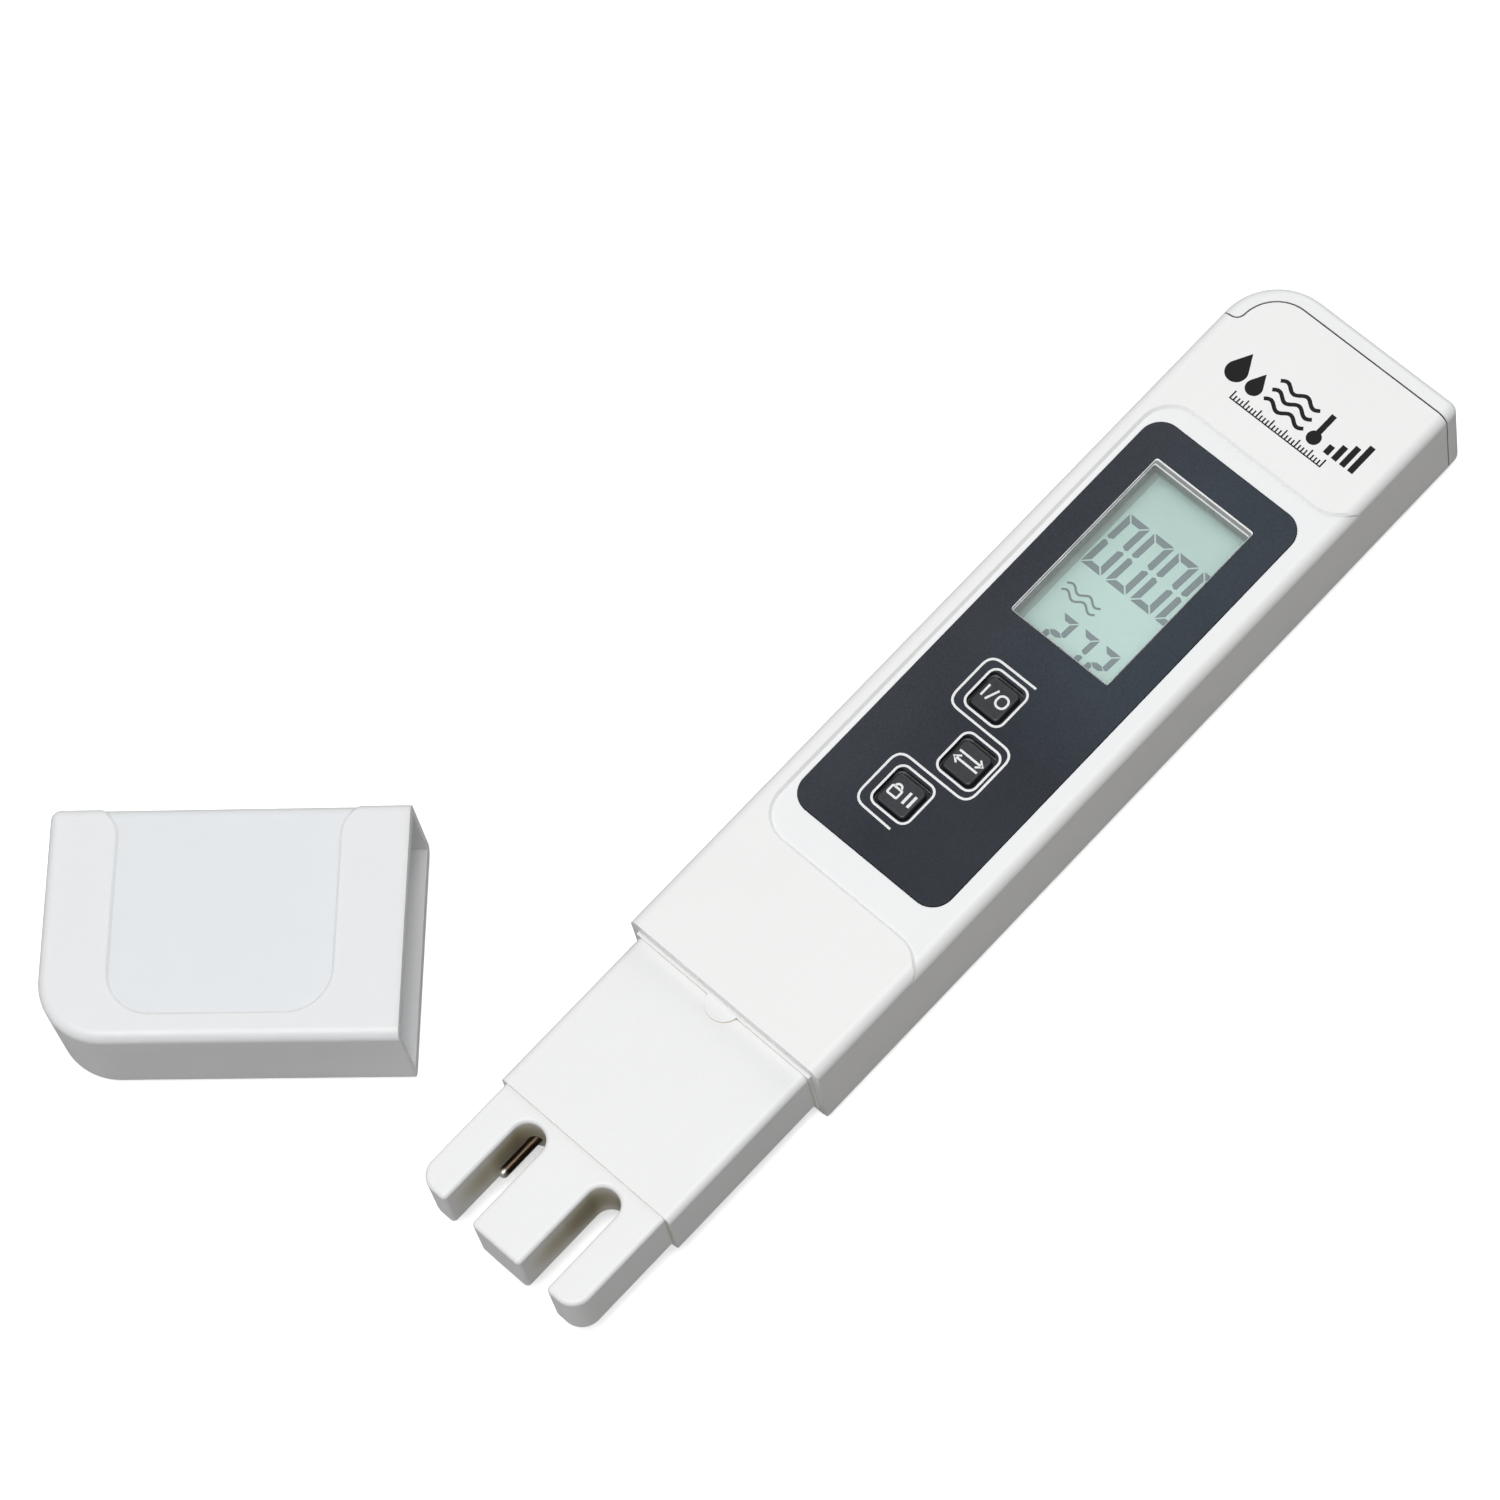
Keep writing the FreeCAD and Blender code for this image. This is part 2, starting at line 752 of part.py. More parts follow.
def clipped(thing, height):
    """The part of an object that lies below a height, within 1.1 mm of it."""
    height = as_dim(height)
    slice_box = block(thing.Name + "_slice", -10, 14, along(20), along(40), height - 1.4,
                      height - 0.5)
    common = doc.addObject("Part::Common", thing.Name + "_clipped")
    common.Base = thing
    common.Tool = slice_box
    return common


# ---------------------------------------------------------------- battery bay

def battery_bay():
    centre = along("cell_centre")
    across = size("cell_across")
    floor = size("tray_under") + size("tray_floor")
    cell_under = floor + size("contact_thickness")
    cell_top = cell_under + size("cell_thickness")
    tray = new_body("battery_tray")
    half = size("tray_half")
    slab(tray, rectangle(-half, half, along("tray_low"), along("tray_high"), 0.8),
         size("tray_under"), size("tray_rim"))
    bridge_half = across + 3
    for x in (-across, across):
        bore(tray, "XY_Plane", x, centre, size("cell_radius") + 0.15, floor,
             size("tray_rim") + 1)
    slab(tray, rectangle(-bridge_half, bridge_half, centre - 2, centre + 2), floor,
         cell_under + 0.1, "Pocket")
    keep(tray)

    for name, x in (("left_cell", -across), ("right_cell", across)):
        can = new_body(name)
        sketch = new_sketch(can, "XY_Plane", cell_under)
        draw_circle(sketch, x, centre, size("cell_radius"))
        extrude(can, "Pad", sketch, size("cell_thickness"))
        soften(can, "Fillet", 0.5, lambda edge: level(edge, cell_top.value))
        keep(can)

    keep(block("bridge_contact", -bridge_half + 0.1, bridge_half - 0.1, centre - 1.9,
               centre + 1.9, floor, cell_under))

    thickness = size("contact_thickness")
    foot = along(size("board_high") - 1.3)
    heel = along(size("board_high") - 0.1)
    for name, x in (("positive_contact", -across), ("negative_contact", across)):
        strip = new_body(name)
        half = size("contact_half")
        sketch = new_sketch(strip, "YZ_Plane", x - half)
        draw_outline(sketch, [(foot, board_top, 0), (heel, board_top, 0),
                              (heel, cell_top, 0), (centre + 2, cell_top, 0),
                              (centre + 2, cell_top + thickness, 0),
                              (heel - thickness, cell_top + thickness, 0),
                              (heel - thickness, board_top + thickness, 0),
                              (foot, board_top + thickness, 0)])
        extrude(strip, "Pad", sketch, half * 2)
        keep(strip)


# ---------------------------------------------------------------- probe holder

def probe_holder():
    body = new_body("probe_holder")
    under, top = size("neck_under"), size("neck_top")
    neck, plug = size("neck_half"), size("neck_plug_half")
    plug_under = size("neck_plug_under")
    junction = MOUTH - size("neck_length")
    slab(body, rectangle(-neck, neck, junction, MOUTH), under, top)
    soften(body, "Fillet", size("neck_edge"), lengthwise)
    slab(body, rectangle(-plug, plug, MOUTH - 0.3, along("neck_plug")), plug_under, top - 0.1)
    prong, slot = size("prong_half"), size("slot_half")
    tip, end = MOUTH - size("prong_reach"), MOUTH - size("slot_end")
    tip_radius, centre = size("prong_tip_radius"), size("slot_centre")
    arch, nose = slot - 0.05, size("prong_edge") + 0.05
    comb = [(-prong, tip, tip_radius), (-centre - slot, tip, nose), (-centre - slot, end, arch),
            (-centre + slot, end, arch), (-centre + slot, tip, nose), (centre - slot, tip, nose),
            (centre - slot, end, arch), (centre + slot, end, arch), (centre + slot, tip, nose),
            (prong, tip, tip_radius), (prong, junction + 1, 0), (-prong, junction + 1, 0)]
    slab(body, comb, size("prong_under"), size("prong_top"))
    inside_comb = junction.value - 0.01

    def prong_rim(edge):
        flat = level(edge, size("prong_under").value) or level(edge, size("prong_top").value)
        return flat and edge.BoundBox.YMin < inside_comb

    soften(body, "Fillet", size("prong_edge"), prong_rim)
    proud = size("lip_proud")
    slab(body, rectangle(-neck - proud, neck + proud, MOUTH - size("lip_height"), MOUTH),
         under - proud, top + proud)
    tab = size("tab_radius")
    slab(body, [(-tab, MOUTH - tab, tab - 0.05), (tab, MOUTH - tab, tab - 0.05),
                (tab, MOUTH, 0), (-tab, MOUTH, 0)], top - 0.3, top + proud)
    well = size("well_half")
    tunnel(body, rectangle(-well, well, size("well_under"), size("well_top"), 0.5),
           MOUTH - size("well_depth"), along(size("neck_plug") + 1))
    middle = size("electrode_middle")
    for side in (-1, 1):
        bore(body, "XZ_Plane", side * size("electrode_across"), middle,
             size("electrode_radius"), end - 1, MOUTH - size("well_depth") + 1)
    bore(body, "XZ_Plane", 0, middle, size("sensor_radius"), MOUTH - size("sensor_reach"),
         MOUTH - size("well_depth") + 1)
    groove = size("seal_groove")
    ring = along(size("neck_plug") / 2)
    sketch = new_sketch(body, "XZ_Plane", -(ring + size("seal_width")))
    draw_outline(sketch, rectangle(-plug - 1, plug + 1, under - 1, top + 1))
    draw_outline(sketch, rectangle(-plug + groove, plug - groove, plug_under + groove,
                                   top - groove))
    extrude(body, "Pocket", sketch, size("seal_width"), back=True)
    keep(body)

    seal = new_body("probe_seal")
    play = 0.05
    tunnel(seal, rectangle(-inside_half + play, inside_half - play, inside_under + play,
                           inside_top - play, 0.9), ring, ring + size("seal_width"), "Pad")
    tunnel(seal, rectangle(-plug + groove, plug - groove, plug_under + groove, top - groove),
           ring - 1, ring + size("seal_width") + 1)
    keep(seal)


def probe_parts():
    middle, radius = size("electrode_middle"), size("electrode_radius")
    reach = MOUTH - size("electrode_reach")
    tail = along("electrode_tail")
    resin = new_body("resin_seal")
    well = size("well_half")
    tunnel(resin, rectangle(-well, well, size("well_under"), size("well_top"), 0.5),
           MOUTH - size("well_depth"), along("resin_height"), "Pad")
    for side in (-1, 1):
        bore(resin, "XZ_Plane", side * size("electrode_across"), middle, radius,
             MOUTH - size("well_depth") - 1, along(size("resin_height") + 1))
    bore(resin, "XZ_Plane", 0, middle, size("sensor_radius"),
         MOUTH - size("well_depth") - 1, along(size("resin_height") + 1))
    keep(resin)

    for name, side in (("left_electrode", -1), ("right_electrode", 1)):
        x = side * size("electrode_across")
        shaft = rod(name + "_shaft", "Y", x, reach + radius, middle, radius,
                    tail - reach - radius)
        keep(joined("Part::MultiFuse", name, [shaft, ball(name + "_tip", x, reach + radius,
                                                          middle, radius)]))

    radius = size("sensor_radius")
    reach = MOUTH - size("sensor_reach") + 0.5
    shaft = rod("sensor_shaft", "Y", 0, reach + radius, middle, radius, size("sensor_length"))
    keep(joined("Part::MultiFuse", "temperature_sensor",
                [shaft, ball("sensor_tip", 0, reach + radius, middle, radius)]))

    wire = size("wire_radius")
    landing = board_top + wire + 0.05
    leads = []
    for side in (-1, 1):
        x = side * size("electrode_across")
        leads.append(wire_lead("electrode_lead_%d" % (side + 2),
                               [(x, tail, middle), (x, along(13.2), middle),
                                (x, along(17.0), landing), (x, along(19.5), landing)], wire))
    for side in (-1, 1):
        x = side * 0.55
        leads.append(wire_lead("sensor_lead_%d" % (side + 2),
                               [(x, reach + radius + size("sensor_length"), middle),
                                (x, along(13.2), middle), (x, along(17.0), landing),
                                (x, along(19.5), landing)], wire))
    keep(joined("Part::Compound", "probe_leads", leads))


# ---------------------------------------------------------------- protective cap

def protective_cap():
    """A plain cup, drawn with its closed end at y = 0 and its mouth towards +Y, then laid down."""
    body = new_body("protective_cap")
    half, length = size("cap_width") / 2, size("cap_length")
    mouth = length.value

    def cup(block, top):
        slab(block, [(-half, 0, size("small_corner")), (half, 0, size("cap_corner")),
                     (half, length, 0), (-half, length, 0)], 0, top)

        def rim(edge):
            at_mouth = abs(edge.BoundBox.YMin - mouth) < 1e-4
            return (level(edge, 0) or level(edge, top.value)) and not at_mouth

        soften(block, "Fillet", size("cap_edge"), rim)

    cup(body, recess_floor)
    border = new_body("cap_border")
    cup(border, front)
    reach, flare = -size("cap_recess_reach"), size("cap_recess_flare")
    low, high = size("cap_recess_low"), size("cap_recess_high")
    side, radius = size("cap_recess_side"), size("cap_recess_radius")
    beyond_low, beyond_high = low - flare - 1, high + flare + 1
    raise_border(body, border, [
        (reach, low, flare), (side, low, radius), (side, high, radius), (reach, high, flare),
        (reach, beyond_high, 0), (-BEYOND, beyond_high, 0), (-BEYOND, beyond_low, 0),
        (reach, beyond_low, 0)])
    inside, wall = size("cap_inside_half"), size("cap_end_wall")
    slab(body, [(-inside, wall, 0.5), (inside, wall, size("cap_corner") - wall),
                (inside, length + 1, 0), (-inside, length + 1, 0)],
         size("cap_inside_under"), size("cap_inside_top"), "Pocket")
    body.Placement = Placement(Vector(size("cap_across").value,
                                      (MOUTH + size("cap_along")).value, 0),
                               Rotation(Vector(0, 0, 1), size("cap_turn").value))
    bind(body, "Placement.Base.x", size("cap_across"))
    bind(body, "Placement.Base.y", MOUTH + size("cap_along"))
    bind(body, "Placement.Rotation.Angle", size("cap_turn"))
    keep(body)


casing()
battery_cover()
front_panel()
keys()
electronics()
battery_bay()
probe_holder()
probe_parts()
protective_cap()
doc.recompute()

failed = [thing.Label for thing in doc.Objects
          if "Invalid" in thing.State or "Error" in thing.State]
if failed:
    raise ValueError("these objects failed: " + ", ".join(failed))
for thing in SUBPARTS:
    if thing.Shape.isNull() or not thing.Shape.isValid() or not thing.Shape.Solids:
        raise ValueError(thing.Label + " has no valid solid")

os.makedirs("parts", exist_ok=True)
for thing in SUBPARTS:
    thing.Shape.exportStep("parts/%s.step" % thing.Label)
    print("%-20s solids %d  volume %9.1f mm3" % (thing.Label, len(thing.Shape.Solids),
                                                 thing.Shape.Volume))
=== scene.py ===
import json
import math

import bmesh
import bpy
from mathutils import Matrix, Vector


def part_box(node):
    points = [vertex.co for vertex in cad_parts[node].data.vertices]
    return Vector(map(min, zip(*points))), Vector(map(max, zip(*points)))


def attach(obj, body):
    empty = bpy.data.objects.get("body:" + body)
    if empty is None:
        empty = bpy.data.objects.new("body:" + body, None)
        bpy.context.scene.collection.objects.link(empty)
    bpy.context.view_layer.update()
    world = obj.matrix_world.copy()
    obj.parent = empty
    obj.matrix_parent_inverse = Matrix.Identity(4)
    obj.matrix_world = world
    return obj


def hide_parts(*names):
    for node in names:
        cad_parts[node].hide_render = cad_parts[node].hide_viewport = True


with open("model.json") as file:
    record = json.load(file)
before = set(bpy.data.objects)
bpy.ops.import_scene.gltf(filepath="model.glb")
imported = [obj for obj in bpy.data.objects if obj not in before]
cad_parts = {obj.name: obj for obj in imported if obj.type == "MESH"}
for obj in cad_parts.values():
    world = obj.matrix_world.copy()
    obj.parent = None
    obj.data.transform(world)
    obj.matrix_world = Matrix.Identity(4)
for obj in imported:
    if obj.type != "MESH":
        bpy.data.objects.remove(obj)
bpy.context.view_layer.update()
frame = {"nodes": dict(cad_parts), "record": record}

MM = 0.001
NODES = frame["nodes"]


# ---------------------------------------------------------------- places read from the frame

def box_mm(node):
    """The low and high corners of a node's box in millimetres."""
    low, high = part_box(node)
    return low / MM, high / MM


CASING_LOW, CASING_HIGH = box_mm("casing")
LENS_LOW, LENS_HIGH = box_mm("window_lens")
MOUTH = CASING_LOW.y
FRONT = CASING_HIGH.z
PANEL_TOP = box_mm("front_panel")[1].z
DISPLAY_TOP = box_mm("display_glass")[1].z


def key_place(node):
    """The middle of a key and the height of its cap."""
    low, high = box_mm(node)
    return (low + high) / 2, high.z


KEYS = {node: key_place(node) for node in ("power_key", "shift_key", "hold_key")}


# ---------------------------------------------------------------- camera, floor and light

AZIMUTH, ELEVATION, ROLL = (math.radians(angle) for angle in (58.13, 65.56, -16.2))
DISTANCE = 776.45
TARGET = Vector((-24.1, MOUTH + 27.82, 0))
# focal length over the picture's width
FOCAL_SHARE = 6559.68 / 1500
SENSOR_WIDTH = 36
NEAREST, FARTHEST = 0.01, 20

# each softbox: its direction from the object, the side of its square in metres, and its watts
SOFTBOXES = {
    "key_softbox": ((0.14, -0.17, 0.96), 1.8, 61.5),
    "back_softbox": ((-0.30, 0.85, 0.45), 1.6, 20.0),
    "low_softbox": ((-0.42, -0.88, 0.18), 1.2, 10.0),
}
SOFTBOX_DISTANCE = 2.7
SOFTBOX_TARGET = Vector((-0.03, 0, 0))
ROOM_COLOUR = (1.0, 0.99, 0.975, 1)
ROOM_STRENGTH = 0.17


def make_camera():
    """A camera at the set direction and distance from its target, rolled about its own axis."""
    back = Vector((math.sin(AZIMUTH) * math.cos(ELEVATION),
                   -math.cos(AZIMUTH) * math.cos(ELEVATION), math.sin(ELEVATION)))
    right = (-back).cross(Vector((0, 0, 1))).normalized()
    up = right.cross(-back)
    turned_right = right * math.cos(ROLL) + up * math.sin(ROLL)
    turned_up = up * math.cos(ROLL) - right * math.sin(ROLL)
    data = bpy.data.cameras.new("camera")
    data.sensor_width = SENSOR_WIDTH
    data.lens = FOCAL_SHARE * SENSOR_WIDTH
    data.clip_start, data.clip_end = NEAREST, FARTHEST
    camera = bpy.data.objects.new("camera", data)
    turn = Matrix((turned_right, turned_up, back)).transposed().to_4x4()
    camera.matrix_world = Matrix.Translation((TARGET + back * DISTANCE) * MM) @ turn
    bpy.context.scene.collection.objects.link(camera)
    bpy.context.scene.camera = camera


def area_light(name, direction, size, power):
    """A square softbox that looks at the middle of the object from a direction."""
    data = bpy.data.lights.new(name, "AREA")
    data.size = size
    data.energy = power
    lamp = bpy.data.objects.new(name, data)
    direction = Vector(direction).normalized()
    lamp.location = SOFTBOX_TARGET + direction * SOFTBOX_DISTANCE
    lamp.rotation_mode = "QUATERNION"
    lamp.rotation_quaternion = (-direction).to_track_quat("-Z", "Y")
    bpy.context.scene.collection.objects.link(lamp)


def light_room():
    """The evenly lit room round the softboxes."""
    world = bpy.data.worlds.new("studio")
    bpy.context.scene.world = world
    world.use_nodes = True
    background = world.node_tree.nodes["Background"]
    background.inputs["Color"].default_value = ROOM_COLOUR
    background.inputs["Strength"].default_value = ROOM_STRENGTH
    bpy.context.scene.view_settings.view_transform = "Standard"


make_camera()
for softbox, settings in SOFTBOXES.items():
    area_light(softbox, *settings)
light_room()


# ---------------------------------------------------------------- materials

OPENNESS_RAYS = 24


class Shader:
    """A Principled material whose colour, roughness and relief come from noise in the mesh's own
    coordinates, so the pattern stays on its part when the part moves."""

    def __init__(self, name, **constants):
        self.material = bpy.data.materials.new(name)
        self.material.use_nodes = True
        self.tree = self.material.node_tree
        self.shader = self.tree.nodes["Principled BSDF"]
        for socket, value in constants.items():
            self.shader.inputs[socket.replace("_", " ")].default_value = value
        self.place = self.node("ShaderNodeTexCoord").outputs["Object"]

    def node(self, kind, **values):
        """A new node with some of its settings given."""
        node = self.tree.nodes.new(kind)
        for name, value in values.items():
            setattr(node, name, value)
        return node

    def link(self, source, target):
        self.tree.links.new(source, target)

    def noise(self, grain_mm, detail=3.0, stretch=(1, 1, 1)):
        """Noise whose features are about grain_mm across, longer along the axes under 1."""
        mapping = self.node("ShaderNodeMapping")
        mapping.inputs["Scale"].default_value = stretch
        self.link(self.place, mapping.inputs["Vector"])
        noise = self.node("ShaderNodeTexNoise")
        noise.inputs["Scale"].default_value = 1 / (grain_mm * MM)
        noise.inputs["Detail"].default_value = detail
        self.link(mapping.outputs["Vector"], noise.inputs["Vector"])
        return noise.outputs["Fac"]

    def ramp(self, source, stops):
        """A colour ramp from (position, colour) stops."""
        node = self.node("ShaderNodeValToRGB")
        elements = node.color_ramp.elements
        while len(elements) < len(stops):
            elements.new(0.5)
        for element, (position, colour) in zip(elements, stops):
            element.position = position
            element.color = (*colour, 1)
        self.link(source, node.inputs["Fac"])
        return node.outputs["Color"]

    def openness(self, reach_mm, own_only=False):
        """1 where the surface is open within reach_mm, falling towards 0 inside crevices."""
        node = self.node("ShaderNodeAmbientOcclusion", samples=OPENNESS_RAYS,
                         only_local=own_only)
        node.inputs["Distance"].default_value = reach_mm * MM
        return node.outputs["AO"]

    def place_along(self, axis, start, stop):
        """0 to 1 as the place along an axis goes from start to stop, both in millimetres."""
        split = self.node("ShaderNodeSeparateXYZ")
        self.link(self.place, split.inputs["Vector"])
        return self.spread(split.outputs[axis], 0.0, 1.0, start * MM, stop * MM)

    def spread(self, source, low, high, start=0.3, stop=0.7):
        """source between start and stop turned into a number between low and high."""
        node = self.node("ShaderNodeMapRange")
        for socket, value in (("From Min", start), ("From Max", stop), ("To Min", low),
                              ("To Max", high)):
            node.inputs[socket].default_value = value
        self.link(source, node.inputs["Value"])
        return node.outputs["Result"]

    def mix(self, share, first, second, blend="MIX"):
        """Two colours, or sockets that give them, mixed by a share of the second."""
        node = self.node("ShaderNodeMix", data_type="RGBA", blend_type=blend)
        factor, one, two = node.inputs[0], node.inputs[6], node.inputs[7]
        for socket, value in ((factor, share), (one, first), (two, second)):
            if isinstance(value, bpy.types.NodeSocket):
                self.link(value, socket)
            elif isinstance(value, tuple):
                socket.default_value = (*value, 1)
            else:
                socket.default_value = value
        return node.outputs[2]

    def math(self, operation, first, second):
        """The result of an operation on two sockets' values, such as their product."""
        node = self.node("ShaderNodeMath", operation=operation)
        self.link(first, node.inputs[0])
        self.link(second, node.inputs[1])
        return node.outputs["Value"]

    def colour(self, source):
        self.link(source, self.shader.inputs["Base Color"])

    def rough(self, source):
        self.link(source, self.shader.inputs["Roughness"])

    def relief(self, *layers):
        """Bumps stacked on each other, each given as (source, height in mm, strength)."""
        normal = None
        for source, height, strength in layers:
            bump = self.node("ShaderNodeBump")
            bump.inputs["Distance"].default_value = height * MM
            bump.inputs["Strength"].default_value = strength
            self.link(source, bump.inputs["Height"])
            if normal is not None:
                self.link(normal, bump.inputs["Normal"])
            normal = bump.outputs["Normal"]
        self.link(normal, self.shader.inputs["Normal"])


def shade(colour, factor):
    """A colour with its brightness multiplied."""
    return tuple(min(1.0, channel * factor) for channel in colour)


def speckled(name, colour, contrast=0.04, grain=0.5, roughness=(0.3, 0.45), height=0.01,
             drift=12.0, stretch=(1, 1, 1), **constants):
    """The common finish: slow drift and fine grain in colour, roughness and relief."""
    made = Shader(name, **constants)
    fine = made.noise(grain, 4, stretch)
    slow = made.noise(drift, 2)
    tone = made.ramp(slow, [(0.3, shade(colour, 1 - contrast)), (0.7, shade(colour, 1 + contrast))])
    speck = made.ramp(fine, [(0.25, shade((1, 1, 1), 1 - contrast)), (0.75, (1, 1, 1))])
    made.colour(made.mix(1.0, tone, speck, "MULTIPLY"))
    made.rough(made.spread(fine, *roughness))
    made.relief((fine, height, 0.5))
    return made.material


# depths under the front between which the recess's painted cool reflection comes in, and goes out
# again below
RECESS_REFLECTION_IN = (0.2, 0.36)
RECESS_REFLECTION_OUT = (0.6, 0.44)
# how near other surfaces must be to darken a seam with painted shade, and the painted shade's tone
# from shut to open
SEAM_REACH = 0.9
SEAM_SHADE_TONES = [(0.02, (0.03, 0.025, 0.02)), (0.12, (0.42, 0.37, 0.32)), (0.26, (0.78, 0.77, 0.76)),
              (0.48, (0.92, 0.917, 0.91)), (0.8, (1, 1, 1))]
# the same painted shade for the deep slots between the prongs
SLOT_REACH = 7.0
SLOT_SHADE_TONES = [(0.10, (0.13, 0.10, 0.05)), (0.25, (0.32, 0.27, 0.17)), (0.40, (0.54, 0.48, 0.33)),
              (0.49, (0.79, 0.745, 0.62)), (0.58, (0.965, 0.955, 0.91)), (0.66, (1, 1, 1))]


def white_plastic(name, colour, recess_reflection=None, slot_reach=None, **constants):
    """Moulded ABS: faint warm and cool drift, fine spark-eroded grain, hair scratches, a painted
    brownish shade where light cannot reach, in seams and in slots, and a painted cool reflection on
    the recess floor when a tone for it is given."""
    made = Shader(name, **constants)
    slow = made.noise(25, 2)
    fine = made.noise(0.35, 5)
    scratch = made.noise(0.6, 6, (1, 0.04, 1))
    tone = made.ramp(slow, [(0.3, shade(colour, 0.985)), (0.7, colour)])
    speck = made.ramp(fine, [(0.3, (0.985, 0.985, 0.985)), (0.6, (1, 1, 1))])
    tone = made.mix(1.0, tone, speck, "MULTIPLY")
    if recess_reflection:
        # painted cool reflection: a bluish tone on the recess floor
        sunk = made.place_along("Z", *(FRONT - depth for depth in RECESS_REFLECTION_IN))
        high = made.place_along("Z", *(FRONT - depth for depth in RECESS_REFLECTION_OUT))
        tone = made.mix(made.math("MULTIPLY", sunk, high), tone, recess_reflection)
    # painted shade: colour darkened and browned where other surfaces are near, in seams and at
    # recess steps
    seam_shade = made.ramp(made.openness(SEAM_REACH), SEAM_SHADE_TONES)
    tone = made.mix(1.0, tone, seam_shade, "MULTIPLY")
    if slot_reach:
        # painted shade, brownish, deep in the slots between the prongs
        slot_shade = made.ramp(made.openness(slot_reach, True), SLOT_SHADE_TONES)
        tone = made.mix(1.0, tone, slot_shade, "MULTIPLY")
    made.colour(tone)
    made.rough(made.spread(scratch, 0.36, 0.46))
    made.relief((slow, 0.02, 0.15), (fine, 0.006, 0.35))
    return made.material


# the panel's dark tone with a painted reflection that differs across it: its left side, its right
# side, and its right side beside the window, where the painted reflection is lightest
PANEL_LEFT_REFLECTED = (0.042, 0.048, 0.059)
PANEL_RIGHT_REFLECTED = (0.031, 0.037, 0.047)
PANEL_REFLECTION_BESIDE_WINDOW = (0.043, 0.054, 0.069)
# where one painted reflection tone fades into the other, x from the middle and y from the casing's
# mouth
PANEL_REFLECTION_FADE_X = (-8.5, 0.5)
PANEL_REFLECTION_FADE_Y = (44, 56)


def panel_lacquer():
    """Dark blue-grey lacquer with soft clouds, a fine grit, and a painted reflection that changes
    its tone from left to right and beside the window.
    """
    panel = Shader("dark_panel", Coat_Weight=0.15, Coat_Roughness=0.08, IOR=1.45,
                   Specular_IOR_Level=0.36)
    drift = panel.noise(18, 3)
    grit = panel.noise(0.22, 4)
    # painted reflection: the tone moves from the left side to the right side, lightest beside the
    # window
    across = panel.place_along("X", *PANEL_REFLECTION_FADE_X)
    along = panel.place_along("Y", *(MOUTH + y for y in PANEL_REFLECTION_FADE_Y))
    right = panel.mix(along, PANEL_RIGHT_REFLECTED, PANEL_REFLECTION_BESIDE_WINDOW)
    tone = panel.mix(across, PANEL_LEFT_REFLECTED, right)
    cloud = panel.ramp(drift, [(0.3, (0.9, 0.9, 0.9)), (0.7, (1, 1, 1))])
    tone = panel.mix(1.0, tone, cloud, "MULTIPLY")
    grain = panel.ramp(grit, [(0.2, (0.72, 0.72, 0.72)), (0.8, (1.2, 1.2, 1.2))])
    panel.colour(panel.mix(1.0, tone, grain, "MULTIPLY"))
    panel.rough(panel.spread(drift, 0.24, 0.30))
    return panel.material


def window_plastic():
    """Clear acrylic with a faint green haze."""
    lens = Shader("clear_window", Alpha=0.10, IOR=1.49)
    haze = lens.noise(3, 3)
    lens.colour(lens.ramp(haze, [(0.3, (0.80, 0.86, 0.84)), (0.7, (0.90, 0.94, 0.92))]))
    lens.rough(lens.spread(haze, 0.03, 0.09))
    return lens.material


def rim_with_painted_highlight():
    """Grey grooves, darker towards the window's underside, with a painted highlight on the ridges
    at the top of the window's bevels.
    """
    rim = Shader("window_rim", Metallic=0.1)
    streak = rim.noise(2.5, 3, (1, 1, 0.2))
    # painted highlight: near-white on the ridges at the top of the bevels
    depth = rim.place_along("Z", LENS_LOW.z, LENS_HIGH.z)
    tone = rim.ramp(depth, [(0.0, (0.23, 0.23, 0.225)), (0.7, (0.27, 0.275, 0.275)),
                            (0.91, (0.31, 0.32, 0.325)), (0.965, (0.98, 1.0, 1.0))])
    rim.colour(rim.mix(1.0, tone, rim.ramp(streak, [(0.3, (0.85, 0.85, 0.85)),
                                                    (0.7, (1, 1, 1))]), "MULTIPLY"))
    rim.rough(rim.spread(streak, 0.25, 0.4))
    rim.relief((streak, 0.01, 0.3))
    return rim.material


# how far under the panel's top the display frame's painted shade is at its darkest
FRAME_SHADE_DEPTH = 2.0


def display_frame_plastic():
    """Grey plastic with painted shade that deepens from the display's green near it to dark grey
    towards the panel's top.
    """
    wall = Shader("display_frame")
    grain = wall.noise(0.8, 3)
    depth = wall.place_along("Z", DISPLAY_TOP, PANEL_TOP - FRAME_SHADE_DEPTH)
    # painted shade: the display's green near it, dark grey near the panel's top
    tone = wall.ramp(depth, [(0.0, (0.52, 0.66, 0.62)), (0.45, (0.42, 0.45, 0.43)),
                             (1.0, (0.27, 0.25, 0.235))])
    wall.colour(wall.mix(1.0, tone, wall.ramp(grain, [(0.3, (0.93, 0.93, 0.93)),
                                                      (0.7, (1, 1, 1))]), "MULTIPLY"))
    wall.rough(wall.spread(grain, 0.4, 0.55))
    return wall.material


# the electrode's end with a painted highlight, y from the casing's mouth
PIN_TIP_HIGHLIGHT = (-30.2, -30.9)


def pin_metal():
    """Dark drawn metal with lengthwise streaks and a painted highlight at its end."""
    pin = Shader("electrode_metal", Metallic=1.0)
    grain = pin.noise(0.3, 4, (1, 0.12, 1))
    tip_highlight = pin.place_along("Y", *(MOUTH + y for y in PIN_TIP_HIGHLIGHT))
    tone = pin.ramp(grain, [(0.3, (0.04, 0.028, 0.019)), (0.7, (0.12, 0.088, 0.064))])
    # painted highlight: the electrode's end turns near-white
    pin.colour(pin.mix(tip_highlight, tone, (0.9, 0.9, 0.9)))
    pin.rough(pin.spread(grain, 0.2, 0.4))
    return pin.material


